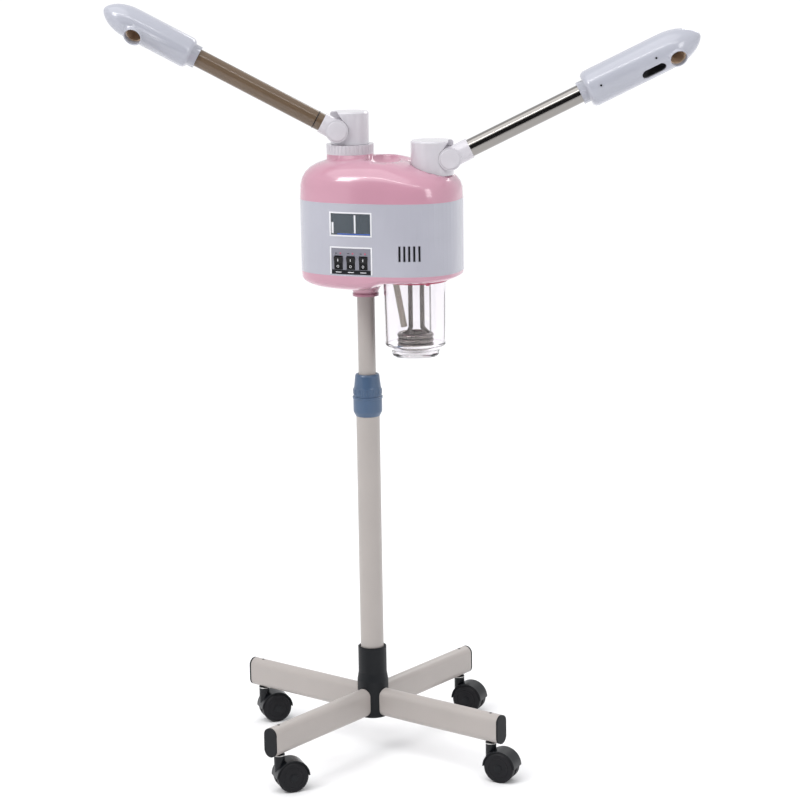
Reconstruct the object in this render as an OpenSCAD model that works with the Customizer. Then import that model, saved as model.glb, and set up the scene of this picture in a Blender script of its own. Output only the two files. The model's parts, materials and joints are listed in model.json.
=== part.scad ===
// Facial steamer on a rolling stand: a four-leg base on twin-wheel casters, a telescopic
// column, and a rounded head with a glass water jar and two swivelling steam arms.
// Millimetres. The front of the head faces -Y and +Z is up.

/* [Base] */
// Distance of the column's axis from the origin, along X
column_x = -64.6; // [-120:0.1:60]
// Distance of the column's axis from the origin, along Y
column_y = 0; // [-60:0.1:60]
// Reach of each leg from the column's axis
leg_reach = 238; // [200:1:300]
// Height of a leg's flat-oval section
leg_h = 44; // [30:1:50]
// Thickness of a leg's flat-oval section
leg_t = 22; // [18:1:30]
// Height of the legs' underside above the floor
leg_clear = 58; // [56:1:90]
// Turn of the base about the column
base_turn = -20; // [-45:1:45]
// Outer radius of the hub's neck
hub_r = 21.5; // [20:0.5:30]
// Height of the hub's top rim above the floor
hub_top = 165; // [140:1:200]

/* [Casters] */
// Radius of a caster wheel
wheel_r = 23; // [18:0.5:25]
// Width of one of a caster's two wheels
wheel_w = 13; // [8:0.5:18]
// Distance of the axle behind the swivel axis
caster_trail = 17; // [10:0.5:22]

/* [Column] */
// Outer radius of the lower tube
lower_r = 17.5; // [16:0.5:20]
// Outer radius of the sliding upper tube
mast_r = 13; // [10:0.5:14]
// Wall of both tubes
tube_wall = 1.5; // [1:0.1:2]
// Height of the clamp collar's lower edge above the floor
collar_z = 523; // [420:1:640]
// Height of the clamp collar
collar_h = 63; // [55:1:80]

/* [Head] */
// Width of the head
head_w = 238; // [215:1:290]
// Depth of the head
head_d = 164; // [140:1:200]
// Height of the white middle band
band_h = 104; // [95:1:125]
// Height of the band's lower edge above the floor
band_z = 745; // [735:1:900]
// Height of the upper shell over the band
dome_h = 61; // [54:1:70]
// Distance of the head's centre from the column's axis
head_x = 27; // [20:1:34]
// Wall of the head's shells
shell_wall = 2.6; // [2:0.1:4]

/* [Water jar] */
// Outer radius of the jar
jar_r = 46; // [38:0.5:47]
// Length of the jar below the head
jar_drop = 112; // [95:1:140]
// Wall of the jar
jar_wall = 3; // [2:0.1:4]
// Distance of the jar's axis from the head's centre
jar_x = 49; // [47:1:55]

/* [Arms] */
// Outer radius of both arm tubes
arm_r = 13; // [10:0.5:14]
// Turn of both arms about the vertical
arms_turn = 18; // [-20:1:25]
// Rise of the left arm above the horizontal
left_rise = 28.5; // [20:0.5:40]
// Rise of the right arm above the horizontal
right_rise = 25.5; // [20:0.5:40]
// Bare length of the left tube
left_tube = 202; // [120:1:300]
// Bare length of the right tube
right_tube = 176; // [120:1:300]
// Length of the left nozzle
left_nozzle_l = 150; // [130:1:200]
// Length of the right nozzle
right_nozzle_l = 189; // [160:1:230]

/* [Hidden] */
$fn = 64;
LEGS = [0, 1, 2, 3];

// Clearances: a turning fit, a loose fit and a gap between pieces that only pass each other
fit = 0.05;
gap = 0.3;

// Casters
axle_z = wheel_r;
axle_r = 3;
fork_r = wheel_r + 2.5;
web_t = 5;
stem_r = 5.5;
stem_inset = 17;
caster_turns = [-7, -7, 38, 38];

// Base
leg_z = leg_clear + leg_h / 2;
leg_wall = 1.6;
leg_root = 14;
cap_t = 3;
column_foot = leg_clear + leg_h + 2;

// Column
lower_top = collar_z + 33;
mast_foot = collar_z - 220;
mast_top = band_z + 6;
collar_r = 21.5;
neck_r = lower_r + 1.3;
sleeve_r = mast_r + 2.2;

// Head
band_top = band_z + band_h;
belly_deep = 27;
belly_shallow = 15;
boss_h = 14;
boss_r = mast_r + 6.5;
dome_low = dome_h - 14;
N = 2.6;
SIDES = 64;
RINGS = 9;
scoop_x = 10;
scoop_y = -16;
scoop_w = 54;
scoop_l = 74;
scoop_deep = 15;

// Front panel, measured from the head's centre and the band's lower edge
display = [-21, 59, 61, 31];
switches = [-21, 2, 61, 38];
vents = [65, 22, 5, 6.8, 3.4, 22.5];
rocker_pitch = 19;
rocker_size = [13, 20];
rocker_rise = 7;

// Turrets: distance of the axis from the head's centre, radius, base and top heights,
// then the elbow's place: outwards, forwards and up
left = [-47, 28, dome_h + band_top + 17, dome_h + band_top + 64, 18, 18, 38];
right = [78, 31, dome_h + band_top - 26, dome_h + band_top + 24, 25, 14, -1];
ring_r = 34.5;
ball_r = 16.5;
ball_half = 15.7;
stub_r = 15;
left_stub = 24;
right_stub = 32;
spigot_r = 20;
left_nozzle_r = 23.5;
right_nozzle_r = 28;
nozzle_collar = 10;
nozzle_roll = 55;
tube_in = 22;

// ---------------------------------------------------------------- helpers

module on_column() translate([column_x, column_y, 0]) children();

module on_head() on_column() translate([head_x, 0, 0]) children();

// A point on the head's plan outline at angle a, for half sizes hw and hd
function oval(a, hw, hd) =
    [hw * sign(cos(a)) * pow(abs(cos(a)), 2 / N), hd * sign(sin(a)) * pow(abs(sin(a)), 2 / N)];

// A step that eases from 0 at lo to 1 at hi
function ease(x, lo, hi) =
    let (t = min(1, max(0, (x - lo) / (hi - lo)))) t * t * (3 - 2 * t);

module head_outline(inset) {
    polygon([for (i = [0 : SIDES - 1]) oval(i * 360 / SIDES, head_w / 2 - inset, head_d / 2 - inset)]);
}

// A closed solid over a stack of rings, each with the same number of points
module loft(rings) {
    n = len(rings[0]);
    m = len(rings);
    polyhedron(
        points = [for (r = rings) each r],
        faces = concat(
            [for (i = [1 : n - 2]) [0, i + 1, i]],
            [for (j = [0 : m - 2], i = [0 : n - 1]) let (k = (i + 1) % n)
                each [[j * n + k, (j + 1) * n + i, j * n + i], [(j + 1) * n + k, (j + 1) * n + i, j * n + k]]],
            [for (i = [1 : n - 2]) [(m - 1) * n, (m - 1) * n + i, (m - 1) * n + i + 1]]),
        convexity = 6);
}

// Height of the upper shell over the band, and depth of the lower one under it, at x
function dome_at(x) = dome_h - (dome_h - dome_low) * ease(x, 5, 88);
function belly_at(x) = belly_deep - (belly_deep - belly_shallow) * ease(x, -12, 26);

// A rounded half shell's solid: up for the dome, down for the belly
module pillow(inset, up) {
    power = up ? 3.4 : 3.6;
    loft([for (j = [0 : RINGS]) let (
            t = 86 * j / RINGS,
            s = pow(cos(t), 2 / power),
            rise = pow(sin(t), 2 / power))
        [for (i = [0 : SIDES - 1]) let (
                a = up ? -i * 360 / SIDES : i * 360 / SIDES,
                p = oval(a, head_w / 2 - inset, head_d / 2 - inset) * s,
                h = (up ? dome_at(p.x) : belly_at(p.x)) - inset)
            [p.x, p.y, up ? band_top + rise * h : band_z - rise * h]]]);
}

// ---------------------------------------------------------------- base

module oval_section(w, h) {
    hull() for (s = [-1, 1]) translate([0, s * (h - w) / 2]) circle(d = w);
}

// Places a child that points along +X on leg i, at the legs' mid height
module on_leg(i) on_column() rotate([0, 0, base_turn + 90 * i]) translate([0, 0, leg_z]) children();

module leg(i) {
    color([0.82, 0.79, 0.77]) on_leg(i) difference() {
        rotate([90, 0, 90]) translate([0, 0, leg_root])
            linear_extrude(leg_reach - leg_root) leg_section(0);
        rotate([90, 0, 90]) translate([0, 0, leg_root - 1])
            linear_extrude(leg_reach - leg_root + 2) leg_section(leg_wall);
        translate([leg_reach - stem_inset, 0, -leg_h / 2 - 1]) cylinder(r = stem_r, h = leg_h / 2);
        translate([leg_reach - stem_inset, 0, 0]) cylinder(r = 2, h = leg_h / 2 + 1);
    }
}

// A flat oval drawn with true arcs
module leg_section(inset) {
    w = leg_t - 2 * inset;
    h = leg_h - 2 * inset;
    square([w, h - w], center = true);
    for (s = [-1, 1]) translate([0, s * (h - w) / 2]) circle(d = w);
}

module leg_cap(i) {
    color([0.09, 0.1, 0.11]) on_leg(i) rotate([90, 0, 90]) {
        translate([0, 0, leg_reach]) linear_extrude(cap_t) leg_section(0);
        translate([0, 0, leg_reach - 8]) linear_extrude(8) leg_section(leg_wall);
    }
}

module hub() {
    color([0.1, 0.11, 0.12]) difference() {
        union() {
            on_column() translate([0, 0, leg_clear - 1]) cylinder(r = hub_r + 2, h = leg_h + 12);
            on_column() translate([0, 0, leg_clear + leg_h + 11]) cylinder(r1 = hub_r + 2, r2 = hub_r, h = 12);
            on_column() translate([0, 0, leg_clear + leg_h + 23])
                cylinder(r = hub_r, h = hub_top - leg_clear - leg_h - 23);
        }
        on_column() translate([0, 0, column_foot]) cylinder(r = lower_r, h = hub_top);
        on_column() translate([0, 0, hub_top - 3]) cylinder(r = lower_r + 1.2, h = 4);
        on_column() translate([0, 0, leg_clear - 2]) cylinder(r = 4, h = leg_h + 5);
        for (i = LEGS) on_leg(i) rotate([90, 0, 90]) translate([0, 0, leg_root])
            linear_extrude(leg_reach) leg_section(0);
    }
}

module hub_bolt() {
    color([0.55, 0.56, 0.58]) on_column() translate([0, 0, leg_clear - 5]) {
        cylinder(r = 7, h = 4, $fn = 6);
        cylinder(r = 4, h = column_foot - leg_clear + 5);
    }
}

// ---------------------------------------------------------------- casters

// Places a child on caster i, with the swivel axis at the origin and +X as the trail
module on_caster(i) on_column() rotate([0, 0, base_turn + 90 * i])
    translate([leg_reach - stem_inset, 0, 0]) rotate([0, 0, caster_turns[i] - base_turn - 90 * i])
    children();

module wheel_side(s) translate([caster_trail, s * (web_t / 2 + gap), axle_z])
    rotate([s > 0 ? -90 : 90, 0, 0]) children();

module caster_fork(i) {
    color([0.08, 0.09, 0.1]) on_caster(i) difference() {
        union() {
            translate([0, 0, axle_z + 8]) cylinder(r = stem_r + 2.5, h = leg_clear - axle_z - 8 - gap);
            translate([0, 0, axle_z + 8]) cylinder(r = stem_r - fit, h = leg_clear - axle_z + 12);
            translate([caster_trail, web_t / 2, axle_z]) rotate([90, 0, 0]) cylinder(r = wheel_r - 3, h = web_t);
            hood();
        }
        for (s = [-1, 1]) wheel_side(s) translate([0, 0, -gap]) cylinder(r = wheel_r + 0.6, h = 40);
        translate([caster_trail, 30, axle_z]) rotate([90, 0, 0]) cylinder(r = axle_r, h = 60);
    }
}

// The mudguard over both wheels: the top half of a drum
module hood() {
    half = web_t / 2 + gap + wheel_w - 2;
    difference() {
        translate([caster_trail, half, axle_z]) rotate([90, 0, 0]) cylinder(r = fork_r, h = 2 * half);
        translate([caster_trail, 0, axle_z - 29.5]) cube([80, 80, 60], center = true);
    }
}

module caster_axle(i) {
    color([0.6, 0.61, 0.63]) on_caster(i) translate([caster_trail, 0, axle_z]) rotate([90, 0, 0])
        translate([0, 0, -web_t / 2 - wheel_w + 2]) cylinder(r = axle_r, h = web_t + 2 * wheel_w - 4);
}

module caster_wheels(i) {
    color([0.07, 0.08, 0.09]) on_caster(i) for (s = [-1, 1]) wheel_side(s) rotate_extrude()
        polygon([[axle_r + fit, 0], [wheel_r - 0.8, 0], [wheel_r, 0.8], [wheel_r, wheel_w - 3],
                 [wheel_r - 2.5, wheel_w - 0.8], [8, wheel_w], [0, wheel_w], [0, wheel_w - 2 + gap],
                 [axle_r + fit, wheel_w - 2 + gap]]);
}

// ---------------------------------------------------------------- column

module lower_column() {
    color([0.8, 0.77, 0.76]) on_column() difference() {
        translate([0, 0, column_foot]) cylinder(r = lower_r, h = lower_top - column_foot);
        translate([0, 0, column_foot - 1]) cylinder(r = lower_r - tube_wall, h = lower_top);
    }
}

// The collar's fixed half: a cup on the tube's end with a threaded neck
module collar_body() {
    z1 = lower_top - collar_z;
    color([0.27, 0.38, 0.52]) on_column() translate([0, 0, collar_z]) rotate_extrude() polygon([
        [lower_r, 0], [collar_r - 3.5, 0], [collar_r - 0.4, 6], [collar_r, 8], [collar_r, 26],
        [collar_r + 0.9, 27], [collar_r + 0.9, 29.4], [collar_r, 30], [neck_r, 30], [neck_r, z1 + 8],
        [mast_r + fit, z1 + 8], [mast_r + fit, z1], [lower_r, z1]]);
}

// The split sleeve that the nut squeezes on the upper tube
module clamp_sleeve() {
    z0 = lower_top + 8;
    color([0.85, 0.85, 0.83]) on_column() difference() {
        translate([0, 0, z0]) cylinder(r = sleeve_r, h = 15);
        translate([0, 0, z0 - 1]) cylinder(r = mast_r + fit, h = 17);
        translate([0, -1, z0 - 1]) cube([sleeve_r + 5, 2, 17]);
    }
}

// The collar's turning half: a grip nut with shallow flutes, narrowing upwards
module collar_nut() {
    z0 = collar_z + 30 + gap;
    h = collar_h - 30 - gap;
    color([0.29, 0.41, 0.55]) on_column() difference() {
        translate([0, 0, z0]) rotate_extrude() polygon([
            [0, 0], [collar_r - 0.6, 0], [collar_r - 1, 12], [collar_r - 1.6, 14],
            [collar_r - 3.5, h - 2], [collar_r - 4.5, h], [0, h]]);
        translate([0, 0, z0 - 1]) cylinder(r = neck_r + gap, h = 12.5);
        translate([0, 0, z0 - 1]) cylinder(r = sleeve_r + gap, h = h - 2);
        translate([0, 0, z0 - 1]) cylinder(r = mast_r + gap, h = h + 2);
        for (a = [0 : 30 : 359]) rotate([0, 0, a]) translate([collar_r + 0.8, 0, z0 + 1.5])
            cylinder(r = 2, h = 9.5, $fn = 16);
    }
}

module upper_column() {
    color([0.78, 0.75, 0.74]) on_column() difference() {
        translate([0, 0, mast_foot]) cylinder(r = mast_r, h = mast_top - mast_foot);
        translate([0, 0, mast_foot - 1]) cylinder(r = mast_r - tube_wall, h = mast_top - mast_foot + 2);
    }
}

module column_glide() {
    color([0.85, 0.85, 0.83]) on_column() translate([0, 0, mast_foot - 6]) {
        cylinder(r = lower_r - tube_wall - fit, h = 6);
        cylinder(r = mast_r - tube_wall, h = 22);
    }
}

// ---------------------------------------------------------------- head

// The socket inside the head that turns on the upper tube
module mast_socket() {
    z0 = band_z - belly_deep - boss_h;
    color([0.62, 0.63, 0.65]) on_column() difference() {
        translate([0, 0, z0 + 1]) cylinder(r = mast_r + 4, h = mast_top - z0 + 4);
        translate([0, 0, z0]) cylinder(r = mast_r + fit, h = mast_top - z0 + gap);
    }
}

module lower_shell() {
    z0 = band_z - belly_deep;
    color([0.87, 0.6, 0.68]) difference() {
        union() {
            on_head() pillow(0, false);
            on_column() translate([0, 0, z0 - boss_h]) cylinder(r = boss_r, h = 4);
            on_column() translate([0, 0, z0 - boss_h + 4]) cylinder(r1 = boss_r - 1.5, r2 = boss_r + 5, h = boss_h);
        }
        difference() {
            on_head() translate([0, 0, 0.01]) pillow(shell_wall, false);
            on_column() translate([0, 0, z0 - 2]) cylinder(r = mast_r + 6.5, h = belly_deep - 4);
        }
        on_column() translate([0, 0, z0 - boss_h - 1]) cylinder(r = mast_r + 4, h = belly_deep + boss_h + 2);
        on_head() translate([jar_x, 0, band_z - belly_deep - 1]) cylinder(r = jar_r + 2.5, h = belly_deep + 2);
    }
}

module middle_band() {
    color([0.86, 0.86, 0.89]) on_head() difference() {
        translate([0, 0, band_z]) linear_extrude(band_h) head_outline(0);
        translate([0, 0, band_z - 1]) linear_extrude(band_h + 2) head_outline(shell_wall);
        front_cut(display, 0);
        front_cut(switches, 0);
        for (i = [0 : vents[2] - 1]) vent_slot(i);
        inlet_cut(0);
    }
}

// A window through the front wall, [centre x, height over the band's edge, width, height]
module front_cut(w, inset) translate([w[0] - w[2] / 2 + inset, -head_d, band_z + w[1] + inset])
    cube([w[2] - 2 * inset, head_d, w[3] - 2 * inset]);

module vent_slot(i) {
    x = vents[0] + (i - (vents[2] - 1) / 2) * vents[3];
    translate([x - vents[4] / 2, -head_d, band_z + vents[1]]) cube([vents[4], head_d, vents[5]]);
}

module inlet_cut(inset) translate([-60 + inset, 0, band_z + 14 + inset])
    cube([28 - 2 * inset, head_d, 22 - 2 * inset]);

module upper_shell() {
    color([0.89, 0.64, 0.71]) on_head() difference() {
        union() {
            difference() {
                pillow(0, true);
                scoop(0);
            }
            translate([left[0], 0, band_top + dome_h - 14]) cylinder(r = ring_r, h = 14 + 3);
        }
        difference() {
            translate([0, 0, -0.01]) pillow(shell_wall, true);
            scoop(shell_wall);
            translate([right[0], 0, right[2] - 12]) cylinder(r = right[1] + gap + shell_wall, h = 60);
        }
        translate([left[0], 0, band_top]) cylinder(r = spigot_r + gap, h = 2 * dome_h);
        translate([left[0], 0, band_top]) cylinder(r = ring_r - shell_wall, h = dome_h - 1);
        translate([right[0], 0, right[2]]) cylinder(r = right[1] + gap, h = 2 * dome_h);
        translate([right[0], 0, right[2] - 13]) cylinder(r = spigot_r + fit, h = 20);
    }
}

// The dished hollow in the upper shell's top, grown by the wall for its underside
module scoop(grow) {
    translate([scoop_x, scoop_y, band_top + dome_h + 3]) rotate([0, 0, 12])
        scale([scoop_w / 2 + grow, scoop_l / 2 + grow, scoop_deep + 3 + grow]) sphere(r = 1, $fn = 48);
}

module display_lens() {
    color([0.25, 0.3, 0.34]) on_head() intersection() {
        front_cut(display, 0);
        difference() {
            translate([0, 0, band_z]) linear_extrude(band_h) head_outline(0.8);
            translate([0, 0, band_z - 1]) linear_extrude(band_h + 2) head_outline(shell_wall);
        }
    }
}

module display_module() {
    color([0.35, 0.4, 0.43]) on_head() difference() {
        translate([display[0] - display[2] / 2 + 1, -head_d / 2 + 7.5, band_z + display[1] + 1])
            cube([display[2] - 2, 8, display[3] - 2]);
        translate([display[0] - display[2] / 2 + 4, -head_d / 2 + 6.5, band_z + display[1] + 4])
            cube([35, 3, display[3] - 8]);
        translate([display[0] + 13, -head_d / 2 + 6.5, band_z + display[1] + 4])
            cube([display[2] / 2 - 17, 3, display[3] - 8]);
    }
}

module switch_plate() {
    color([0.5, 0.5, 0.54]) on_head() difference() {
        intersection() {
            front_cut(switches, 0);
            difference() {
                translate([0, 0, band_z]) linear_extrude(band_h) head_outline(-0.3);
                translate([0, 0, band_z - 1]) linear_extrude(band_h + 2) head_outline(shell_wall);
            }
        }
        for (i = [0 : 2]) rocker_place(i) cube([rocker_size.x, 30, rocker_size.y], center = true);
    }
}

// The middle of rocker i, on the front face
module rocker_place(i) translate([switches[0] + (i - 1) * rocker_pitch, -head_d / 2, band_z + switches[1] + rocker_rise + rocker_size.y / 2])
    children();

rocker_lean = 9;
rocker_depth = 5;

module rocker(i) {
    half = rocker_size.y / 2 - gap - 0.4;
    color([0.06, 0.06, 0.07]) on_head() rocker_place(i) translate([0, 2.2, 0]) rotate([rocker_lean, 0, 0])
        rotate([90, 0, 90]) translate([0, 0, -rocker_size.x / 2 + gap])
        linear_extrude(rocker_size.x - 2 * gap)
        polygon([[-3.4, -half + 0.6], [-2.2, 0], [-3.4, half - 0.6], [-1.6, half], [rocker_depth, 3], [rocker_depth, -3], [-1.6, -half]]);
}

module vent_screen() {
    color([0.1, 0.1, 0.11]) on_head() intersection() {
        translate([vents[0] - 20, -head_d, band_z + vents[1] - 4]) cube([40, head_d, vents[5] + 8]);
        difference() {
            translate([0, 0, band_z]) linear_extrude(band_h) head_outline(shell_wall);
            translate([0, 0, band_z - 1]) linear_extrude(band_h + 2) head_outline(shell_wall + 1.2);
        }
    }
}

// An appliance inlet in the back wall, with three contact pins in its cavity
module power_inlet() {
    z = band_z + 25;
    y = head_d / 2 * pow(1 - pow(60 / (head_w / 2), N), 1 / N);
    color([0.1, 0.1, 0.11]) on_head() translate([-46, 0, z]) {
        difference() {
            translate([-14, y - 18, -11]) cube([28, 22, 22]);
            translate([-11, y - 12, -8]) cube([22, 30, 16]);
        }
        for (x = [-6, 0, 6]) translate([x - 1, y - 14, x == 0 ? 0 : -4]) cube([2, 14, 4]);
    }
}

// The board behind the display, on four posts from the front wall
module control_board() {
    y = -head_d / 2 + 15.5;
    color([0.2, 0.42, 0.28]) on_head() {
        translate([-60, y, band_z + 48]) cube([78, 1.6, 48]);
        translate([-50, y + 1.6, band_z + 56]) cube([26, 18, 24]);
        translate([-12, y + 1.6, band_z + 60]) cube([14, 10, 12]);
        intersection() {
            translate([0, 0, band_z + 1]) linear_extrude(band_h - 2) head_outline(shell_wall);
            for (x = [-57, 15], z = [52, 92]) translate([x, y + 1, band_z + z]) rotate([90, 0, 0])
                cylinder(r = 2.5, h = 30);
        }
    }
}

// ---------------------------------------------------------------- water jar and heater

module on_jar() on_head() translate([jar_x, 0, 0]) children();

jar_foot = band_z - belly_shallow - jar_drop;
jar_top = band_z - belly_shallow + 14;
seat_top = jar_top + 8;

module jar_seat() {
    color([0.78, 0.42, 0.52]) on_jar() difference() {
        union() {
            translate([0, 0, band_z - belly_shallow - 1]) cylinder(r = jar_r + 2.5, h = seat_top - band_z + belly_shallow + 1);
        }
        translate([0, 0, band_z - belly_shallow - 2]) cylinder(r = jar_r + 0.6, h = jar_top - band_z + belly_shallow + 4);
        for (x = [-9, 9]) translate([x, 6, jar_top]) cylinder(r = 3.5, h = 12);
        translate([25, -6, jar_top]) cylinder(r = 1.4, h = 12);
        translate([-(jar_r - 15), -4, jar_top]) cylinder(r = 4.8, h = 12);
    }
}

module jar_seal() {
    color([0.85, 0.85, 0.83]) on_jar() translate([0, 0, jar_top + gap]) difference() {
        cylinder(r = jar_r + 0.6, h = 2 - gap);
        translate([0, 0, -1]) cylinder(r = jar_r - 5, h = 4);
    }
}

module water_jar() {
    color([0.93, 0.9, 0.93, 0.3]) on_jar() rotate_extrude() polygon([
        [0, jar_foot], [jar_r - 13, jar_foot], [jar_r - 11.5, jar_foot + 2], [jar_r - 10.5, jar_foot + 9],
        [jar_r - 2.6, jar_foot + 16], [jar_r - 1.6, jar_foot + 19], [jar_r, jar_top - 26], [jar_r, jar_top],
        [jar_r - jar_wall, jar_top], [jar_r - jar_wall, jar_top - 26], [jar_r - jar_wall - 1.6, jar_foot + 20],
        [jar_r - jar_wall - 3.5, jar_foot + 17.5], [jar_r - jar_wall - 11, jar_foot + 10.5],
        [jar_r - jar_wall - 12, jar_foot + 5.5], [0, jar_foot + 5]]);
}

coil_r = 23;
coil_z = jar_foot + 16;
heater_rod = 3.4;

// An immersion heater: a flange plate, two rods and a flat coil
module heater() {
    color([0.5, 0.48, 0.46]) on_jar() {
        translate([0, 6, seat_top]) cylinder(r = 22, h = 3);
        for (x = [-9, 9]) translate([x, 6, coil_z + 24]) cylinder(r = heater_rod, h = seat_top - coil_z - 22);
        for (k = [0 : 2]) translate([0, 0, coil_z + 7.2 * k]) rotate_extrude() translate([coil_r, 0])
            circle(r = heater_rod + 0.3, $fn = 24);
        for (x = [-9, 9]) leaning([x, 6, coil_z + 25], [x * 1.7, 15, coil_z + 14.4], heater_rod);
    }
}

// A straight rod of radius r from a to b
module leaning(a, b, r) {
    d = b - a;
    translate(a) rotate([0, acos(d.z / norm(d)), atan2(d.y, d.x)]) cylinder(r = r, h = norm(d), $fn = 24);
}

module level_probe() {
    color([0.2, 0.2, 0.22]) on_jar() translate([25, -6, coil_z + 22]) cylinder(r = 1.3, h = seat_top - coil_z - 10);
}

module suction_tube() {
    color([0.9, 0.87, 0.8]) on_jar() difference() {
        union() {
            translate([-(jar_r - 15), -4, jar_top - 6]) cylinder(r = 4.7, h = 20);
            leaning([-(jar_r - 15), -4, jar_top - 3], [-(jar_r - 30), -4, coil_z + 26], 4.7);
        }
        translate([-(jar_r - 15), -4, jar_top - 4]) cylinder(r = 3, h = 20);
    }
}

// ---------------------------------------------------------------- arms

// A turret's own place, turned as the arm is; a left arm is the mirror of a right one
module on_turret(t, side) on_head() translate([t[0], 0, 0]) rotate([0, 0, arms_turn])
    mirror([side < 0 ? 1 : 0, 0, 0]) children();

// The elbow's pivot, with +X along the arm at the given rise
module on_arm(t, side, rise) on_turret(t, side)
    translate([t[4], -t[5], band_top + dome_h + t[6]]) rotate([0, -rise, 0])
    children();

// A point at (x, z) on an arm that is raised by e
function raised(e, x, z) = [x * cos(e) - z * sin(e), x * sin(e) + z * cos(e)];

// The room that the elbow needs between the tilts low and high, open at the front
module elbow_sweep(low, high) {
    h = stub_r + 0.5;
    rotate([90, 0, 0]) translate([0, 0, -ball_r - gap]) cylinder(r = ball_r + gap, h = ball_r + 40);
    rotate([90, 0, 0]) translate([0, 0, -ball_half - gap]) linear_extrude(ball_half + 45) polygon([
        raised(low, 0, -h), raised(low, 80, -h), raised((low + high) / 2, 95, 0), raised(high, 80, h),
        raised(high, 0, h)]);
}

module turret(t, side, rise, low, high) {
    color([0.9, 0.89, 0.91]) difference() {
        on_turret(t, side) {
            translate([0, 0, t[2] + gap]) cylinder(r = t[1], h = t[3] - t[2] - gap - 2);
            translate([0, 0, t[3] - 2]) cylinder(r1 = t[1], r2 = t[1] - 2, h = 2);
            translate([0, 0, t[2] - 14]) cylinder(r = spigot_r, h = 15);
        }
        on_turret(t, side) translate([0, 0, t[2] - 15]) cylinder(r = 9, h = 22);
        on_arm(t, side, 0) elbow_sweep(low, high);
        on_arm(t, side, 0) rotate([-90, 0, 0]) cylinder(r = 3, h = 24);
    }
}

module pivot_pin(t, side) {
    color([0.62, 0.63, 0.65]) on_arm(t, side, 0) rotate([-90, 0, 0]) translate([0, 0, -8])
        cylinder(r = 3, h = 32);
}

module elbow(t, side, rise, stub) {
    color([0.91, 0.9, 0.92]) difference() {
        on_arm(t, side, rise) {
            rotate([90, 0, 0]) translate([0, 0, -ball_half]) cylinder(r = ball_r, h = 2 * ball_half);
            rotate([0, 90, 0]) cylinder(r = stub_r, h = stub);
        }
        on_arm(t, side, rise) rotate([0, 90, 0]) translate([0, 0, stub - 14]) cylinder(r = arm_r, h = 20);
        on_arm(t, side, rise) rotate([0, 90, 0]) translate([0, 0, 4]) cylinder(r = 8, h = stub);
        on_arm(t, side, 0) rotate([-90, 0, 0]) translate([0, 0, -8]) cylinder(r = 3 + fit, h = 40);
    }
}

module arm_tube(t, side, rise, stub, bare, wall, c) {
    color(c) on_arm(t, side, rise) rotate([0, 90, 0]) difference() {
        translate([0, 0, stub - 14]) cylinder(r = arm_r, h = 14 + bare + tube_in);
        translate([0, 0, stub - 15]) cylinder(r = arm_r - wall, h = 16 + bare + tube_in);
    }
}

// Half width of a nozzle at distance s from its collar, for length l and radius r
function nozzle_at(s, l, r) =
    let (head = 0.71 * l, start = nozzle_collar)
    s < head ? r - 4.5 * pow(max(0, 1 - (s - start) / 7), 2)
             : r * pow(max(0, 1 - pow((s - head) / (l - head), 2)), 0.62);

module nozzle_solid(l, r, inset) {
    n = 40;
    stations = concat([nozzle_collar + inset, nozzle_collar + 3 + inset, nozzle_collar + 7 + inset, 0.3 * l],
        [for (k = [0 : 12]) let (u = sin(90 * k / 12)) 0.5 * l + (0.497 * l - inset) * u]);
    loft([for (s = stations) let (w = nozzle_at(s, l, r) - inset * 0.95)
        [for (i = [0 : n - 1]) let (a = -i * 360 / n)
            [s, 0.93 * max(0.6, w) * cos(a), max(0.6, w) * sin(a)]]]);
}

// A hollow nozzle: a collar that turns on the tube, a bulb, a steam outlet and an air slot
module nozzle(t, side, rise, reach, roll, l, r, outlet, slot) {
    color([0.9, 0.9, 0.93]) on_arm(t, side, rise) translate([reach, 0, 0]) rotate([-roll, 0, 0]) difference() {
        union() {
            rotate([0, 90, 0]) cylinder(r = arm_r + 3.5, h = nozzle_collar + 4);
            difference() {
                nozzle_solid(l, r, 0);
                nozzle_solid(l, r, shell_wall);
            }
            translate([outlet[0], 0, -outlet[3]]) cylinder(r = outlet[1] + 2, h = 12);
        }
        rotate([0, 90, 0]) translate([0, 0, -1]) cylinder(r = arm_r + fit, h = nozzle_collar + 8);
        translate([outlet[0], 0, -r - 10]) cylinder(r = outlet[1], h = r + 2);
        if (slot[1] > 0) translate([slot[0], 0, -r - 10]) linear_extrude(r + 4) {
            square([slot[1] - slot[2], slot[2]], center = true);
            for (s = [-1, 1]) translate([s * (slot[1] - slot[2]) / 2, 0]) circle(d = slot[2]);
        }
    }
}

// The steam duct inside a nozzle, from the tube's end to the outlet
module duct(t, side, rise, reach, roll, outlet, c) {
    r = outlet[1];
    color(c) on_arm(t, side, rise) translate([reach, 0, 0]) rotate([-roll, 0, 0]) difference() {
        union() {
            rotate([0, 90, 0]) translate([0, 0, tube_in + 1]) cylinder(r = r, h = outlet[0] - tube_in - 1);
            translate([outlet[0], 0, 0]) sphere(r = r);
            translate([outlet[0], 0, -outlet[2]]) cylinder(r = r, h = outlet[2]);
        }
        rotate([0, 90, 0]) translate([0, 0, tube_in]) cylinder(r = r - 1.5, h = outlet[0] - tube_in);
        translate([outlet[0], 0, 0]) sphere(r = r - 1.5);
        translate([outlet[0], 0, -outlet[2] - 1]) cylinder(r = r - 1.5, h = outlet[2]);
    }
}

left_outlet = [0.63 * left_nozzle_l, 12, left_nozzle_r - 4, left_nozzle_r + 2.5];
right_outlet = [0.77 * right_nozzle_l, 12, right_nozzle_r - 6, right_nozzle_r - 1.8];
right_slot = [0.567 * right_nozzle_l, 37, 14];

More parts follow.
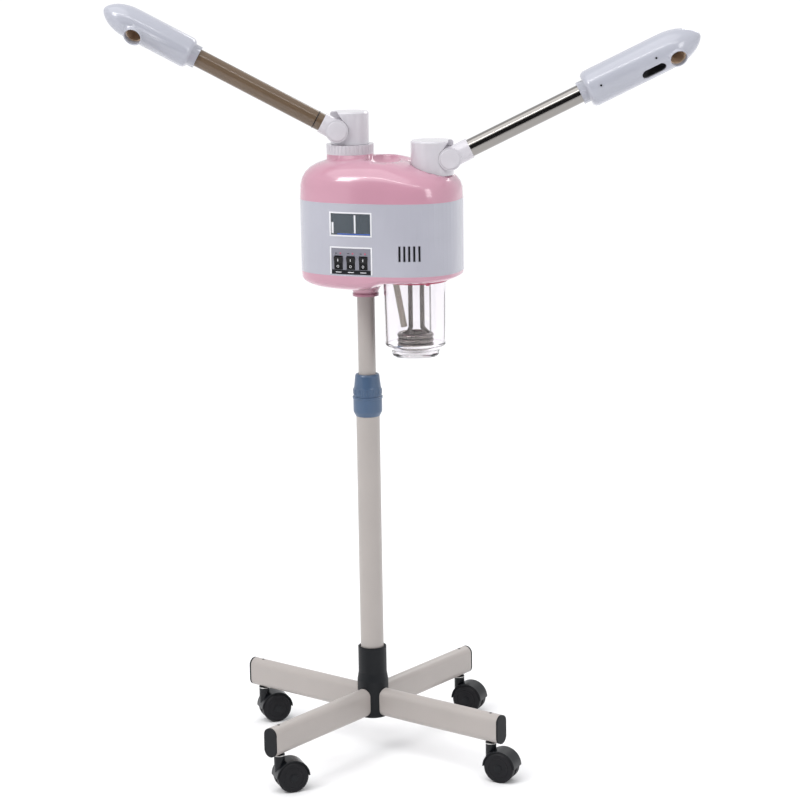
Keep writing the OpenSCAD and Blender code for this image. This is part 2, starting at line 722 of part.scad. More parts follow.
// The knurled ring that the left turret turns in
module left_ring() {
    z = band_top + dome_h + 3;
    color([0.86, 0.86, 0.9]) on_head() translate([left[0], 0, z]) difference() {
        cylinder(r = ring_r, h = left[2] - z);
        translate([0, 0, -1]) cylinder(r = spigot_r + fit, h = 20);
        for (a = [0 : 10 : 359]) rotate([0, 0, a]) translate([ring_r + 0.7, 0, 2]) cylinder(r = 1.4, h = 20, $fn = 16);
    }
}

WHITE_STEEL = [0.75, 0.73, 0.7];
SMOKE = [0.45, 0.36, 0.3, 0.6];

// ---------------------------------------------------------------- nodes

for (i = LEGS) {
    leg(i);
    leg_cap(i);
    caster_fork(i);
    caster_axle(i);
    caster_wheels(i);
}
for (i = [0 : 2]) rocker(i);
hub();
hub_bolt();
lower_column();
collar_body();
clamp_sleeve();
collar_nut();
upper_column();
column_glide();
mast_socket();
lower_shell();
middle_band();
upper_shell();
display_lens();
display_module();
switch_plate();
vent_screen();
power_inlet();
control_board();
jar_seat();
jar_seal();
water_jar();
heater();
level_probe();
suction_tube();
left_ring();
turret(left, -1, left_rise, 5, 55);  // left_turret
pivot_pin(left, -1);  // left_pivot_pin
elbow(left, -1, left_rise, left_stub);  // left_elbow
arm_tube(left, -1, left_rise, left_stub, left_tube, 2, SMOKE);  // left_arm_tube
nozzle(left, -1, left_rise, left_stub + left_tube, nozzle_roll, left_nozzle_l, left_nozzle_r, left_outlet, [0, 0, 0]);  // left_nozzle
duct(left, -1, left_rise, left_stub + left_tube, nozzle_roll, left_outlet, SMOKE);  // left_duct
turret(right, 1, right_rise, 5, 55);  // right_turret
pivot_pin(right, 1);  // right_pivot_pin
elbow(right, 1, right_rise, right_stub);  // right_elbow
arm_tube(right, 1, right_rise, right_stub, right_tube, 1.2, WHITE_STEEL);  // right_arm_tube
nozzle(right, 1, right_rise, right_stub + right_tube, nozzle_roll, right_nozzle_l, right_nozzle_r, right_outlet, right_slot);  // right_nozzle
duct(right, 1, right_rise, right_stub + right_tube, nozzle_roll, right_outlet, WHITE_STEEL);  // right_duct
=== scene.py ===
import bpy, json, math
from mathutils import Matrix, Vector


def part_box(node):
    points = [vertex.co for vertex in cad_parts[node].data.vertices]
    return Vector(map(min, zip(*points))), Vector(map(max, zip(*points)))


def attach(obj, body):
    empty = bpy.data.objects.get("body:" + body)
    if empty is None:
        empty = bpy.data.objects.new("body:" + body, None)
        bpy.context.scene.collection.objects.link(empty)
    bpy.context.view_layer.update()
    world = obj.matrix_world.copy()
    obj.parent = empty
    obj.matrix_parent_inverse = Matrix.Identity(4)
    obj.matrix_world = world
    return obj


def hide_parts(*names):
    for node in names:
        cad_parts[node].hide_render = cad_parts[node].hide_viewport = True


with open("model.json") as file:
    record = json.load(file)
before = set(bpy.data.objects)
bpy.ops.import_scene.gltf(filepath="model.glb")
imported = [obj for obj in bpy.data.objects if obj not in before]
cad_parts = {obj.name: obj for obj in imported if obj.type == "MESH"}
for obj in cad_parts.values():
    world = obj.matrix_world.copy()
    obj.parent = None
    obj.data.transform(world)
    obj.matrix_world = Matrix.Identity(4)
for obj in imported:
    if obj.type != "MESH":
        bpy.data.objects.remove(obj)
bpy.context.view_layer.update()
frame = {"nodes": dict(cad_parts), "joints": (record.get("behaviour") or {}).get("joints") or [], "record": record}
bpy.ops.object.select_all(action="DESELECT")

nodes = frame["nodes"]
joints = {joint["name"]: joint for joint in frame["joints"]}


def middle(node):
    """The middle of a CAD node's box."""
    low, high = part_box(node)
    return (low + high) / 2


column = middle("lower_column")
band_low, band_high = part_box("middle_band")
head = (band_low + band_high) / 2
BAND_FOOT = band_low.z

# ---------------------------------------------------------------- shared effects


def new_group(name, inputs, outputs):
    """An empty node group with named sockets: (kind, name, default) in, (kind, name) out."""
    group = bpy.data.node_groups.new(name, "ShaderNodeTree")
    for kind, label, value in inputs:
        socket = group.interface.new_socket(label, in_out="INPUT", socket_type="NodeSocket" + kind)
        if value is not None:
            socket.default_value = value
    for kind, label in outputs:
        group.interface.new_socket(label, in_out="OUTPUT", socket_type="NodeSocket" + kind)
    return group, group.nodes.new("NodeGroupInput"), group.nodes.new("NodeGroupOutput")


def surface_group():
    """Soft colour drift, a fine grain in the gloss, and a little bump, all in object space."""
    group, given, out = new_group(
        "moulded_surface",
        [("Color", "Colour", (0.8, 0.8, 0.8, 1)), ("Float", "Drift", 0.04), ("Float", "Roughness", 0.3),
         ("Float", "Rough drift", 0.08), ("Float", "Grain size", 900.0), ("Float", "Grain depth", 0.02)],
        [("Color", "Colour"), ("Float", "Roughness"), ("Vector", "Normal")])
    add, link = group.nodes.new, group.links.new
    place = add("ShaderNodeTexCoord")
    cloud, grain = add("ShaderNodeTexNoise"), add("ShaderNodeTexNoise")
    cloud.inputs["Scale"].default_value = 14
    cloud.inputs["Detail"].default_value = 4
    grain.inputs["Detail"].default_value = 3
    link(place.outputs["Object"], cloud.inputs["Vector"])
    link(place.outputs["Object"], grain.inputs["Vector"])
    link(given.outputs["Grain size"], grain.inputs["Scale"])
    # Colour: darker and lighter by the drift
    spread = add("ShaderNodeMapRange")
    spread.inputs["From Min"].default_value = 0.3
    spread.inputs["From Max"].default_value = 0.7
    less, more = add("ShaderNodeMath"), add("ShaderNodeMath")
    less.operation, more.operation = "SUBTRACT", "ADD"
    less.inputs[0].default_value = more.inputs[0].default_value = 1.0
    link(given.outputs["Drift"], less.inputs[1])
    link(given.outputs["Drift"], more.inputs[1])
    link(cloud.outputs["Fac"], spread.inputs["Value"])
    link(less.outputs[0], spread.inputs["To Min"])
    link(more.outputs[0], spread.inputs["To Max"])
    shade = add("ShaderNodeVectorMath")
    shade.operation = "SCALE"
    link(given.outputs["Colour"], shade.inputs[0])
    link(spread.outputs[0], shade.inputs["Scale"])
    link(shade.outputs[0], out.inputs["Colour"])
    # Roughness: a fine grain and broad wiped patches
    both = add("ShaderNodeMath")
    both.operation = "ADD"
    link(cloud.outputs["Fac"], both.inputs[0])
    link(grain.outputs["Fac"], both.inputs[1])
    centred = add("ShaderNodeMath")
    centred.operation = "SUBTRACT"
    centred.inputs[1].default_value = 1.0
    link(both.outputs[0], centred.inputs[0])
    rough = add("ShaderNodeMath")
    rough.operation = "MULTIPLY_ADD"
    link(centred.outputs[0], rough.inputs[0])
    link(given.outputs["Rough drift"], rough.inputs[1])
    link(given.outputs["Roughness"], rough.inputs[2])
    link(rough.outputs[0], out.inputs["Roughness"])
    bump = add("ShaderNodeBump")
    bump.inputs["Distance"].default_value = 0.0004
    link(given.outputs["Grain depth"], bump.inputs["Strength"])
    link(grain.outputs["Fac"], bump.inputs["Height"])
    link(bump.outputs[0], out.inputs["Normal"])
    return group


def streak_group():
    """Streaks along or around a metal piece, as drawing and polishing leave them."""
    group, given, out = new_group(
        "drawn_metal",
        [("Vector", "Stretch", (1.0, 1.0, 1.0)), ("Color", "Colour", (0.6, 0.6, 0.6, 1)),
         ("Float", "Drift", 0.1), ("Float", "Roughness", 0.25)],
        [("Color", "Colour"), ("Float", "Roughness"), ("Vector", "Normal")])
    add, link = group.nodes.new, group.links.new
    place, pull, lines = add("ShaderNodeTexCoord"), add("ShaderNodeVectorMath"), add("ShaderNodeTexNoise")
    pull.operation = "MULTIPLY"
    lines.inputs["Scale"].default_value = 60
    lines.inputs["Detail"].default_value = 5
    link(place.outputs["Object"], pull.inputs[0])
    link(given.outputs["Stretch"], pull.inputs[1])
    link(pull.outputs[0], lines.inputs["Vector"])
    centred, tone = add("ShaderNodeMath"), add("ShaderNodeMath")
    centred.operation, tone.operation = "SUBTRACT", "MULTIPLY_ADD"
    centred.inputs[1].default_value = 0.5
    tone.inputs[2].default_value = 1.0
    link(lines.outputs["Fac"], centred.inputs[0])
    link(centred.outputs[0], tone.inputs[0])
    link(given.outputs["Drift"], tone.inputs[1])
    shade, rough = add("ShaderNodeVectorMath"), add("ShaderNodeMath")
    shade.operation, rough.operation = "SCALE", "MULTIPLY_ADD"
    rough.inputs[1].default_value = 0.25
    link(given.outputs["Colour"], shade.inputs[0])
    link(tone.outputs[0], shade.inputs["Scale"])
    link(centred.outputs[0], rough.inputs[0])
    link(given.outputs["Roughness"], rough.inputs[2])
    bump = add("ShaderNodeBump")
    bump.inputs["Strength"].default_value = 0.05
    bump.inputs["Distance"].default_value = 0.0003
    link(lines.outputs["Fac"], bump.inputs["Height"])
    link(shade.outputs[0], out.inputs["Colour"])
    link(rough.outputs[0], out.inputs["Roughness"])
    link(bump.outputs[0], out.inputs["Normal"])
    return group


MOULDED = surface_group()
DRAWN = streak_group()


def shader_of(name, group, values, **plain):
    """A material whose colour, roughness and normal come from a group, and the rest is plain."""
    material = bpy.data.materials.new(name)
    material.use_nodes = True
    tree = material.node_tree
    shader = tree.nodes["Principled BSDF"]
    effect = tree.nodes.new("ShaderNodeGroup")
    effect.node_tree = group
    for label, value in values.items():
        effect.inputs[label].default_value = value
    tree.links.new(effect.outputs["Colour"], shader.inputs["Base Color"])
    tree.links.new(effect.outputs["Roughness"], shader.inputs["Roughness"])
    tree.links.new(effect.outputs["Normal"], shader.inputs["Normal"])
    for label, value in plain.items():
        shader.inputs[label.replace("_", " ")].default_value = value
    return material


def plastic(name, colour, rough=0.25, coat=0.0, drift=0.03, grain=900, depth=0.03, **plain):
    """A moulded or painted surface, with a clear coat of the given weight."""
    return shader_of(name, MOULDED, {
        "Colour": (*colour, 1), "Drift": drift, "Roughness": rough, "Rough drift": rough * 0.35,
        "Grain size": grain, "Grain depth": depth}, Coat_Weight=coat, **plain)


def metal(name, colour, rough, stretch, drift=0.12):
    """A metal with streaks: stretch is small along the streaks and large across them."""
    return shader_of(name, DRAWN, {
        "Colour": (*colour, 1), "Drift": drift, "Roughness": rough, "Stretch": stretch}, Metallic=1.0)


UP = (12.0, 12.0, 0.6)
PINK = plastic("pink_gloss_shell", (0.53, 0.27, 0.35), 0.2, 0.6, 0.025)
DEEP_PINK = plastic("deep_pink_trim", (0.50, 0.10, 0.17), 0.28, 0.4)
WHITE = plastic("white_gloss_shell", (0.42, 0.42, 0.48), 0.22, 0.5, 0.02)
NOZZLE_WHITE = plastic("white_nozzle_shell", (0.43, 0.44, 0.50), 0.22, 0.5, 0.02)
# A lighter copy of the white gloss plastic for the turrets, elbows and ring: painted light, lifting the shade they
# fall in.
TURRET_WHITE_PAINTED_LIGHT = plastic("white_turret_painted_light", (0.60, 0.58, 0.62), 0.22, 0.5, 0.02)
PAINT = plastic("warm_grey_powder_coat", (0.41, 0.375, 0.355), 0.42, 0.15, 0.03, 1500, 0.12)
DULL = {"Specular_IOR_Level": 0.2}
BLACK = plastic("black_moulding", (0.008, 0.009, 0.011), 0.42, 0.0, 0.2, 1300, 0.12, **DULL)
HOOD_BLACK = plastic("caster_black", (0.006, 0.007, 0.009), 0.3, 0.1, 0.2, 1300, 0.08, **DULL)
TYRE = plastic("wheel_tread", (0.009, 0.009, 0.011), 0.5, 0.0, 0.25, 700, 0.25, **DULL)
SLATE = plastic("slate_blue_collar", (0.055, 0.10, 0.18), 0.34, 0.15, 0.06, 1200, 0.08)
PALE = plastic("pale_liner", (0.70, 0.69, 0.66), 0.45)
PANEL = plastic("panel_grey", (0.21, 0.21, 0.25), 0.35, 0.1)
PRINT_WHITE = plastic("panel_print", (0.75, 0.75, 0.78), 0.5)
ROCKER = plastic("rocker_black", (0.005, 0.005, 0.006), 0.22, 0.1, 0.2, **DULL)
SCREEN = plastic("screen_grey_blue", (0.05, 0.066, 0.085), 0.3, 0.2, 0.3, Specular_IOR_Level=0.3)
BLUE_FILM = plastic("blue_film_edge", (0.05, 0.12, 0.45), 0.3, 0.4)
BOARD = plastic("circuit_green", (0.03, 0.14, 0.06), 0.4, 0.2, 0.15)
SEAL = plastic("seal_rubber", (0.62, 0.60, 0.58), 0.6, 0.0, 0.05, 600, 0.2)
STEEL = metal("turned_steel", (0.58, 0.57, 0.56), 0.28, UP)
SCALED = metal("scaled_heater_steel", (0.22, 0.20, 0.185), 0.3, UP, 0.5)
TINTED = plastic("tinted_duct", (0.55, 0.40, 0.28), 0.25, 0.6, 0.2)
CHROME = metal("polished_chrome", (0.30, 0.285, 0.27), 0.07, (6.0, 6.0, 6.0), 0.04)


def clear(name, colour, rough, index, weight=1.0):
    """A see-through material: weight says how much light passes."""
    return plastic(name, colour, rough, 0.0, 0.03, 400, 0.01, IOR=index, Transmission_Weight=weight)


GLASS = clear("jar_glass", (0.97, 0.95, 0.97), 0.02, 1.46)
SMOKED = clear("smoked_tube", (0.21, 0.145, 0.095), 0.04, 1.5, 0.35)
WINDOW = clear("display_window", (0.22, 0.26, 0.30), 0.05, 1.4, 0.7)
SILICONE = clear("silicone_hose", (0.66, 0.60, 0.50), 0.30, 1.38, 0.35)

SLOT_LOOKS = {
    "black_plastic": BLACK, "steel": STEEL, "warm_grey_paint": PAINT, "slate_plastic": SLATE,
    "pale_plastic": PALE, "pink_gloss": PINK, "pink_dark": DEEP_PINK, "white_gloss": WHITE,
    "smoked_window": WINDOW, "display": SCREEN, "panel_grey": PANEL, "rocker_black": ROCKER,
    "circuit_green": BOARD, "seal_rubber": SEAL, "clear_glass": GLASS, "heater_steel": SCALED,
    "silicone": SILICONE, "smoked_tube": SMOKED, "chrome_tube": CHROME, "wheel_rubber": TYRE}

for part in frame["record"]["subparts"]:
    look = SLOT_LOOKS[part["material_slot"]]
    piece = nodes[part["node"]]
    if part["node"].startswith("caster_fork"):
        look = HOOD_BLACK
    elif part["node"] in ("left_duct", "right_duct"):
        look = TINTED
    # Turrets, elbows and the ring take the lighter white copy, which is painted light.
    elif "turret" in part["node"] or "elbow" in part["node"] or part["node"] == "left_ring":
        look = TURRET_WHITE_PAINTED_LIGHT
    piece.data.materials.clear()
    piece.data.materials.append(look)

# ---------------------------------------------------------------- modelling helpers


def only(piece):
    """Selects one piece and makes it active."""
    if bpy.context.mode != "OBJECT":
        bpy.ops.object.mode_set(mode="OBJECT")
    bpy.ops.object.select_all(action="DESELECT")
    piece.select_set(True)
    bpy.context.view_layer.objects.active = piece


def keep(piece, name, look, body, bevel=0.0, segments=2, smooth=35):
    """Names a finished piece, applies its place and bevel, and hangs it on its body."""
    only(piece)
    piece.name = piece.data.name = name
    bpy.ops.object.transform_apply(location=True, rotation=True, scale=True)
    if bevel:
        soften = piece.modifiers.new("edges", "BEVEL")
        soften.width, soften.segments, soften.limit_method = bevel, segments, "ANGLE"
        soften.harden_normals = False
        bpy.ops.object.modifier_apply(modifier=soften.name)
    bpy.ops.object.shade_smooth_by_angle(angle=math.radians(smooth))
    piece.data.materials.clear()
    piece.data.materials.append(look)
    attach(piece, body)
    piece.select_set(False)
    return piece


def block(place, size):
    """A box at its middle point."""
    bpy.ops.mesh.primitive_cube_add(size=1, location=place)
    piece = bpy.context.object
    piece.scale = size
    return piece


def disc(place, radius, depth, axis=(0, 0, 1), sides=48):
    """A round disc across an axis."""
    bpy.ops.mesh.primitive_cylinder_add(radius=radius, depth=depth, vertices=sides, location=place)
    piece = bpy.context.object
    piece.rotation_euler = Vector(axis).to_track_quat("Z", "Y").to_euler()
    return piece


def ring(place, radius, thickness, axis=(0, 0, 1), sides=64):
    """A round bead across an axis."""
    bpy.ops.mesh.primitive_torus_add(
        major_radius=radius, minor_radius=thickness, major_segments=sides, minor_segments=10,
        location=place)
    piece = bpy.context.object
    piece.rotation_euler = Vector(axis).to_track_quat("Z", "Y").to_euler()
    return piece


# ---------------------------------------------------------------- the head's outline

POWER = 2.6
HALF_W, HALF_D = (band_high.x - band_low.x) / 2, (band_high.y - band_low.y) / 2


def front_depth(x, inset=0.0):
    """How far the band's front face stands before the head's middle, at x from the middle."""
    across = min(0.999, abs(x) / (HALF_W - inset))
    return (HALF_D - inset) * (1 - across ** POWER) ** (1 / POWER)


def oval_ring(height, thickness, stand, name, look):
    """A thin bead round the head, following its outline."""
    bpy.ops.mesh.primitive_torus_add(
        major_radius=1, minor_radius=0.01, major_segments=160, minor_segments=8)
    piece = bpy.context.object
    for point in piece.data.vertices:
        turn = math.atan2(point.co.y, point.co.x)
        c, s = math.cos(turn), math.sin(turn)
        reach = (math.hypot(point.co.x, point.co.y) - 1) * thickness / 0.01
        spot = Vector((
            math.copysign(abs(c) ** (2 / POWER), c) * (HALF_W + stand),
            math.copysign(abs(s) ** (2 / POWER), s) * (HALF_D + stand), 0))
        spot += Vector((c, s, 0)) * reach
        spot.z = height + point.co.z * thickness / 0.01
        point.co = spot + Vector((head.x, head.y, 0))
    return keep(piece, name, look, "head", smooth=60)


oval_ring(band_low.z, 0.0005, -0.0003, "lower_seam_bead", WHITE)
oval_ring(band_high.z, 0.0005, -0.0003, "upper_seam_bead", WHITE)


def bent_plate(x_low, x_high, z_low, z_high, proud, thick, name, look, columns=12):
    """A thin plate laid on the band's curved front."""
    bpy.ops.mesh.primitive_grid_add(x_subdivisions=columns, y_subdivisions=1, size=1)
    piece = bpy.context.object
    for point in piece.data.vertices:
        x = x_low + (point.co.x + 0.5) * (x_high - x_low)
        z = z_low + (point.co.y + 0.5) * (z_high - z_low)
        point.co = Vector((head.x + x, head.y - front_depth(x) - proud, BAND_FOOT + z))
    only(piece)
    wall = piece.modifiers.new("wall", "SOLIDIFY")
    wall.thickness, wall.offset = thick, -1
    bpy.ops.object.modifier_apply(modifier=wall.name)
    return keep(piece, name, look, "head", bevel=thick * 0.3)


# ---------------------------------------------------------------- panel details

window_low, window_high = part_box("display_lens")
plate_low, plate_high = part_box("switch_plate")
# The window's and the plate's sides, from the head's middle and the band's foot
W0, W1 = window_low.x - head.x, window_high.x - head.x
Z0, Z1 = window_low.z - BAND_FOOT, window_high.z - BAND_FOOT
EDGE = 0.0022  # width of the white rims
SUNK = -0.0006  # pieces behind the window's face
for label, a, b, c, d in (
        ("left", W0 - EDGE, W0, Z0 - EDGE, Z1 + EDGE), ("right", W1, W1 + EDGE, Z0 - EDGE, Z1 + EDGE),
        ("bottom", W0, W1, Z0 - EDGE, Z0), ("top", W0, W1, Z1, Z1 + EDGE)):
    bent_plate(a, b, c, d, 0.0005, 0.0012, "display_rim_" + label, PRINT_WHITE)
bent_plate(W0 + 0.010, W1 - 0.001, Z0 + 0.0004, Z0 + 0.0022, SUNK, 0.0006,
           "display_blue_edge", BLUE_FILM)
bent_plate(W0 + 0.036, W0 + 0.0385, Z0 + 0.003, Z1 - 0.002, SUNK, 0.0005,
           "display_divider", PRINT_WHITE, 4)
bent_plate(W0 + 0.001, W0 + 0.004, Z0 + 0.002, Z1 - 0.013, SUNK, 0.0005,
           "display_side_mark", PRINT_WHITE, 4)

P0, P1 = plate_low.x - head.x, plate_high.x - head.x
Q0, Q1 = plate_low.z - BAND_FOOT, plate_high.z - BAND_FOOT
for label, a, b, c, d in (
        ("left", P0 - EDGE, P0, Q0, Q1 + EDGE), ("right", P1, P1 + EDGE, Q0, Q1 + EDGE),
        ("top", P0, P1, Q1, Q1 + EDGE)):
    bent_plate(a, b, c, d, 0.0006, 0.0012, "switch_rim_" + label, PRINT_WHITE)
bent_plate(P0 + 0.0005, P1 - 0.0005, Q0 + 0.0005, Q0 + 0.0066, 0.0006, 0.0007,
           "switch_base_strip", BLACK)

for i in range(1, 4):
    low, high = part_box(f"rocker_{i}")
    x, foot, top = (low.x + high.x) / 2 - head.x, low.z - BAND_FOOT, high.z - BAND_FOOT
    bent_plate(x - 0.0045, x + 0.0045, Q0 + 0.0028, Q0 + 0.0038, 0.0009, 0.0004,
               f"switch_label_bar_{i}", PRINT_WHITE, 3)
    bent_plate(x - 0.0052, x - 0.0024, top + 0.0042, top + 0.0050, 0.0006, 0.0004,
               f"off_mark_{i}", BLACK, 3)
    lamp_place = (head.x + x + 0.003, head.y - front_depth(x) - 0.0006, BAND_FOOT + top + 0.0046)
    keep(disc(lamp_place, 0.0013, 0.0006, (0, 1, 0)),
         f"indicator_lamp_{i}", DEEP_PINK, "head", bevel=0.0002)
    # A raised bar and a raised ring on the rocker's two faces
    face, middle_x, foot_z = low.y - 0.0001, head.x + x, BAND_FOOT + foot
    keep(block((middle_x, face + 0.0006, foot_z + 0.0135), (0.0009, 0.0006, 0.0036)),
         f"rocker_mark_on_{i}", PRINT_WHITE, f"rocker_{i}")
    keep(ring((middle_x, face + 0.0008, foot_z + 0.0045), 0.0015, 0.0003, (0, 1, 0), 24),
         f"rocker_mark_off_{i}", PRINT_WHITE, f"rocker_{i}")

bent_plate(0.058, 0.1165, 0.0520, 0.0526, 0.0001, 0.0003,
           "band_side_seam", NOZZLE_WHITE, 24)

# A lip on both sides of each vent slot
vent_low, vent_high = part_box("vent_screen")
vent_x = (vent_low.x + vent_high.x) / 2 - head.x
VENT_PITCH, VENT_EDGE, LIP_HALF = 0.0068, 0.0019, 0.00025
for i in range(5):
    x = vent_x + (i - 2) * VENT_PITCH
    for side in (-1, 1):
        edge = x + side * VENT_EDGE
        bent_plate(edge - LIP_HALF, edge + LIP_HALF, 0.0222, 0.0443, 0.0003, 0.0006,
                   f"vent_lip_{i + 1}_{'left' if side < 0 else 'right'}", WHITE, 2)

# ---------------------------------------------------------------- the shells and nozzles, smooth


def smooth_copy(node, name, body, look):
    """A smooth-shaded copy of a CAD node, with its loose triangles joined."""
    source = nodes[node]
    piece = source.copy()
    piece.data = source.data.copy()
    bpy.context.collection.objects.link(piece)
    piece.hide_render = piece.hide_viewport = False
    for key in list(piece.keys()):
        del piece[key]
    piece.parent = None
    only(piece)
    bpy.ops.object.mode_set(mode="EDIT")
    bpy.ops.mesh.select_all(action="SELECT")
    bpy.ops.mesh.remove_doubles(threshold=0.00002)
    bpy.ops.object.mode_set(mode="OBJECT")
    keep(piece, name, look, body, smooth=28)
    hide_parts(node)
    return piece


smooth_copy("upper_shell", "upper_shell_skin", "head", PINK)
smooth_copy("lower_shell", "lower_shell_skin", "head", PINK)
smooth_copy("middle_band", "middle_band_skin", "head", WHITE)
for side in ("left", "right"):
    smooth_copy(f"{side}_nozzle", f"{side}_nozzle_skin", f"{side}_nozzle", NOZZLE_WHITE)

# ---------------------------------------------------------------- the arms' own directions


class Arm:
    """An arm at rest: its pivot, its tube's end, the way along it, and the way its outlet points."""

    def __init__(self, side, roll):
        self.side = side
        self.pivot = Vector(joints[side + "_arm_tilt"]["pos_m"])
        self.start = Vector(joints[side + "_nozzle_turn"]["pos_m"])
        self.along = Vector(joints[side + "_nozzle_turn"]["axis"]).normalized()
        level = Vector((0, 0, 1)).cross(self.along).normalized()
        upward = self.along.cross(level)
        sign = -1 if side == "right" else 1
        turn = math.radians(roll) * sign
        self.out = -(upward * math.cos(turn)) + level * math.sin(turn)
        self.face = level * sign

    def at(self, along, out=0.0):
        """A point at a distance from the tube's end, moved out towards the outlet."""
        return self.start + self.along * along + self.out * out


OUTLET_ROLL = 55  # degrees from straight down, towards the front
LEFT, RIGHT = Arm("left", OUTLET_ROLL), Arm("right", OUTLET_ROLL)
for arm, spot, standing in ((LEFT, 0.0945, 0.0260), (RIGHT, 0.14553, 0.0262)):
    keep(ring(arm.at(spot, standing), 0.0132, 0.0009, arm.out), f"{arm.side}_outlet_rim",
         NOZZLE_WHITE, arm.side + "_nozzle", smooth=60)
    keep(ring(arm.at(0.0007), 0.0156, 0.0009, arm.along), f"{arm.side}_nozzle_collar_bead",
         NOZZLE_WHITE, arm.side + "_nozzle", smooth=60)

# Two screw wells on the right nozzle, each a flat black disc of painted shade for the well's dark inside, and a
# cap on each elbow's front
WELL_DEPTH = 0.028 * 0.973  # just inside the nozzle's side, which is a little flatter than round
for arm, wells in ((LEFT, ()), (RIGHT, (0.0305, 0.117))):
    for i, spot in enumerate(wells):
        place = arm.at(spot) + arm.face * WELL_DEPTH
        # The black disc is painted shade: it stands for the dark depth of the well.
        keep(disc(place, 0.0015, 0.0012, arm.face, 24), f"{arm.side}_screw_well_{i + 1}", BLACK,
             arm.side + "_nozzle", bevel=0.0002)
        keep(ring(place + arm.face * 0.0001, 0.0021, 0.0005, arm.face, 32),
             f"{arm.side}_screw_rim_{i + 1}", NOZZLE_WHITE, arm.side + "_nozzle", smooth=60)
    # The elbow cap takes the lighter white copy, which is painted light.
    keep(disc(arm.pivot + arm.face * 0.0160, 0.0140, 0.0018, arm.face), f"{arm.side}_elbow_cap",
         TURRET_WHITE_PAINTED_LIGHT, arm.side + "_arm", bevel=0.0008, segments=3)

# Each elbow's lip at the tube, and a dark seal just inside it
for arm, reach in ((LEFT, 0.202), (RIGHT, 0.176)):
    # The elbow lip takes the lighter white copy, which is painted light.
    keep(ring(arm.at(-reach), 0.0142, 0.0008, arm.along), f"{arm.side}_elbow_lip", TURRET_WHITE_PAINTED_LIGHT,
         arm.side + "_arm", smooth=60)
keep(ring(LEFT.at(-0.1915), 0.0131, 0.0006, LEFT.along), "left_tube_seal_ring",
     BLACK, "left_arm", smooth=60)

# ---------------------------------------------------------------- jar, legs and casters

jar_low, jar_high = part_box("water_jar")
jar = (jar_low + jar_high) / 2
jar_radius = (jar_high.x - jar_low.x) / 2
for label, turn in (("left", 214), ("right", 312)):
    a, reach = math.radians(turn), jar_radius - 0.0005
    lug = block((jar.x + reach * math.cos(a), jar.y + reach * math.sin(a), band_low.z - 0.0165),
                (0.006, 0.006, 0.0035))
    keep(lug, f"jar_lug_{label}", DEEP_PINK, "jar", bevel=0.0012)
keep(ring((jar.x, jar.y, jar_low.z + 0.017), jar_radius - 0.0024, 0.0006), "jar_foot_bead",
     GLASS, "jar", smooth=60)

for i in range(1, 5):
    roll = joints[f"wheels_{i}_roll"]
    hub_spot, axle = Vector(roll["pos_m"]), Vector(roll["axis"]).normalized()
    stem = Vector(joints[f"caster_{i}_swivel"]["pos_m"])
    for sign in (-1, 1):
        label = f"{i}_{'near' if sign < 0 else 'far'}"
        keep(ring(hub_spot + axle * sign * 0.0150, 0.0150, 0.0009, axle), f"wheel_groove_{label}",
             TYRE, f"wheels_{i}", smooth=60)
        keep(disc(hub_spot + axle * sign * 0.0160, 0.0062, 0.0012, axle), f"wheel_cap_{label}",
             BLACK, f"wheels_{i}", bevel=0.0004)
    keep(ring((stem.x, stem.y, 0.0562), 0.0076, 0.0009), f"caster_stem_collar_{i}",
         STEEL, f"caster_{i}", smooth=60)
    # A dark plug in the hole on top of the leg
    keep(disc((stem.x, stem.y, 0.1016), 0.0022, 0.0012), f"leg_hole_plug_{i}",
         BLACK, "base", bevel=0.0003)

keep(ring((column.x, column.y, 0.1652), 0.0197, 0.0010), "hub_rim_bead",
     BLACK, "base", smooth=60)
collar_low, collar_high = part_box("collar_nut")
keep(ring((column.x, column.y, collar_high.z - 0.0002), 0.0152, 0.0007), "nut_top_bead",
     SLATE, "collar", smooth=60)
RIB_REACH, RIB_SIZE = 0.0208, (0.0012, 0.0012, 0.0085)
for i in range(12):
    a = math.radians(30 * i + 15)
    rib = block((column.x + RIB_REACH * math.cos(a), column.y + RIB_REACH * math.sin(a),
                 collar_low.z + 0.0066), RIB_SIZE)
    keep(rib, f"nut_grip_rib_{i + 1}", SLATE, "collar", bevel=0.0004)

# ---------------------------------------------------------------- camera, floor and light

CAMERA_TURN = math.radians(18)
CAMERA_TILT = math.radians(11.8)
CAMERA_ROLL = math.radians(-0.9)
CAMERA_REACH, CAMERA_HEIGHT, CAMERA_SIDE = 3.488, 1.274, 0.048
right_way = Vector((math.cos(CAMERA_TURN), math.sin(CAMERA_TURN), 0))
away = Vector((-math.sin(CAMERA_TURN), math.cos(CAMERA_TURN), 0))
eye = Vector((column.x, column.y, CAMERA_HEIGHT)) + right_way * CAMERA_SIDE - away * CAMERA_REACH
camera = bpy.data.objects.new("camera", bpy.data.cameras.new("camera"))
bpy.context.collection.objects.link(camera)
camera.data.lens, camera.data.sensor_width = 107.8, 36
camera.matrix_world = (
    Matrix.Translation(eye) @ Matrix.Rotation(CAMERA_TURN, 4, "Z")
    @ Matrix.Rotation(math.pi / 2 - CAMERA_TILT, 4, "X") @ Matrix.Rotation(CAMERA_ROLL, 4, "Z"))
bpy.context.scene.camera = camera

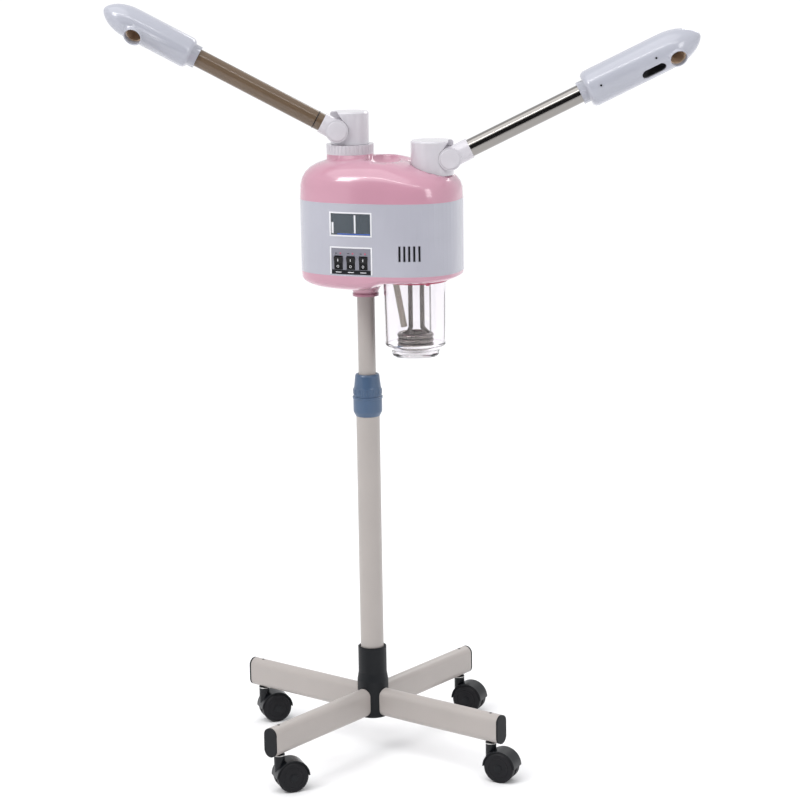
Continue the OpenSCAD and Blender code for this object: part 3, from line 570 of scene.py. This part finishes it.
bpy.ops.mesh.primitive_plane_add(size=120)
floor = bpy.context.object
floor.name = "floor"
floor.data.materials.append(plastic("pale_floor", (0.93, 0.93, 0.935), 0.8, 0.0, 0.005, 60, 0.01))

# A dark card behind the camera, for the tubes and shells to mirror
bpy.ops.mesh.primitive_plane_add(size=1, location=eye - away * 1.6 + Vector((0, 0, 1.0)))
card = bpy.context.object
card.name = "dark_card"
card.scale = (9.0, 4.4, 1)
card.rotation_euler = (math.pi / 2, 0, CAMERA_TURN)
card.data.materials.append(plastic("dark_card_cloth", (0.02, 0.02, 0.022), 0.9, 0.0, 0.1, 60, 0.01))
card.visible_camera = False


def soft_light(name, place, target, size, watts):
    """A rectangular lamp that faces a target."""
    lamp = bpy.data.objects.new(name, bpy.data.lights.new(name, "AREA"))
    bpy.context.collection.objects.link(lamp)
    lamp.data.shape, lamp.data.size, lamp.data.size_y = "RECTANGLE", size[0], size[1]
    lamp.data.energy = watts
    lamp.location = place
    lamp.rotation_euler = (Vector(place) - Vector(target)).to_track_quat("Z", "Y").to_euler()


MIDDLE = (0, 0, 0.7)
soft_light("key_light", (-1.5, -2.2, 2.6), MIDDLE, (0.7, 0.9), 22)
soft_light("strip_light", (0.2, -1.9, 3.1), (0, 0, 0.95), (3.0, 0.12), 12)
soft_light("fill_light", (2.4, -1.7, 1.9), MIDDLE, (0.6, 1.4), 15)
soft_light("back_light", (0.6, 2.6, 2.6), MIDDLE, (1.4, 0.8), 14)
sun = bpy.data.objects.new("soft_sun", bpy.data.lights.new("soft_sun", "SUN"))
bpy.context.collection.objects.link(sun)
sun.data.energy, sun.data.angle = 1.0, math.radians(60)
sun.rotation_euler = (math.radians(22), math.radians(-14), 0)
world = bpy.data.worlds.new("pale_room")
bpy.context.scene.world = world
world.use_nodes = True
world.node_tree.nodes["Background"].inputs["Color"].default_value = (0.96, 0.965, 0.98, 1)
world.node_tree.nodes["Background"].inputs["Strength"].default_value = 0.88
bpy.context.scene.view_settings.view_transform = "Standard"
